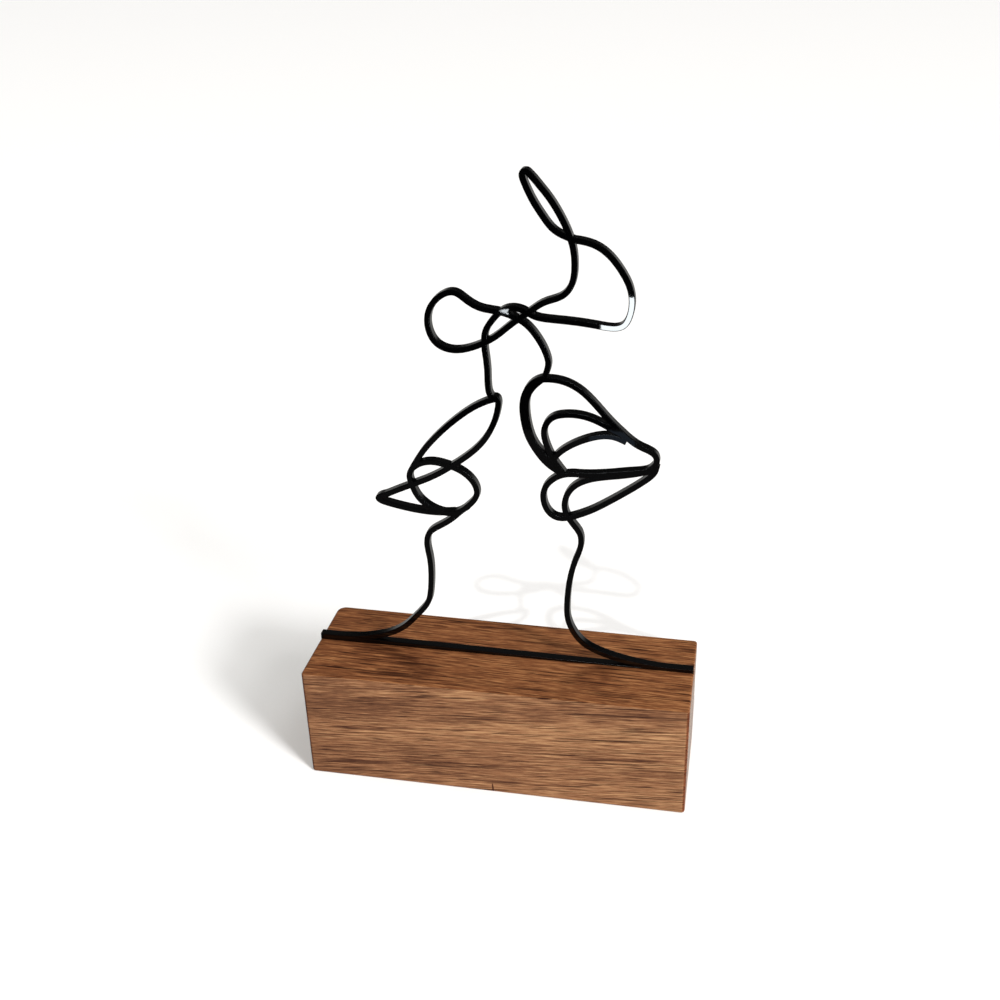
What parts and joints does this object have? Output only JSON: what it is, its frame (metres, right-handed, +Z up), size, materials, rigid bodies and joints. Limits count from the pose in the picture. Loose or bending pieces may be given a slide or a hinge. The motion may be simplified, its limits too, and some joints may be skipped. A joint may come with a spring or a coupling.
{
  "type": "kissing couple line sculpture",
  "caption": "Two kissing faces drawn in one running line, cut from black sheet metal and stood upright in a walnut bar as a shelf ornament.",
  "frame": {"origin": "centre of the plinth's underside", "axes": "+Z up, +X along the plinth to the viewer's right, -Y towards the viewer; the sheet's front face lies in the plane Y = 0"},
  "size_m": [0.15, 0.0492, 0.2386],
  "materials": {
    "walnut": "oiled",
    "black_coated_metal": "gloss"
  },
  "bodies": {
    "root": {"wooden_plinth": "walnut", "kissing_couple_sheet": "black_coated_metal"}
  },
  "joints": []
}
